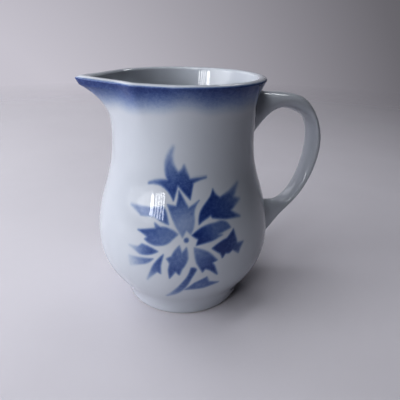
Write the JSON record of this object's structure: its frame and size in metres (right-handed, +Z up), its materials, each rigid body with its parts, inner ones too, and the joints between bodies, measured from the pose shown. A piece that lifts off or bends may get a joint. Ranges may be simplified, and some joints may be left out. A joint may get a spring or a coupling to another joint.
{
  "type": "cream jug",
  "caption": "Pear-shaped porcelain cream jug on a low foot ring, with a pinched pouring spout and a looped strap handle.",
  "frame": {"origin": "middle of the box on the standing plane; the jug's own turning axis is 14 mm towards -X of it", "axes": "+Z up, -X towards the spout, +X towards the handle"},
  "size_m": [0.1218, 0.0852, 0.1108],
  "materials": {
    "white_glaze": "clear gloss glaze over bluish white porcelain, with a sprayed cobalt flower on the belly and a sprayed cobalt band under the rim",
    "cobalt_glaze": "sprayed cobalt blue under a clear gloss glaze, fading to white downwards",
    "bare_porcelain": "glazed outside, with a matt unglazed standing edge"
  },
  "bodies": {
    "root": {"jug_body": "white_glaze", "foot_ring": "bare_porcelain", "spout": "cobalt_glaze", "handle": "white_glaze", "upper_handle_luting": "white_glaze", "lower_handle_luting": "white_glaze"}
  },
  "joints": []
}
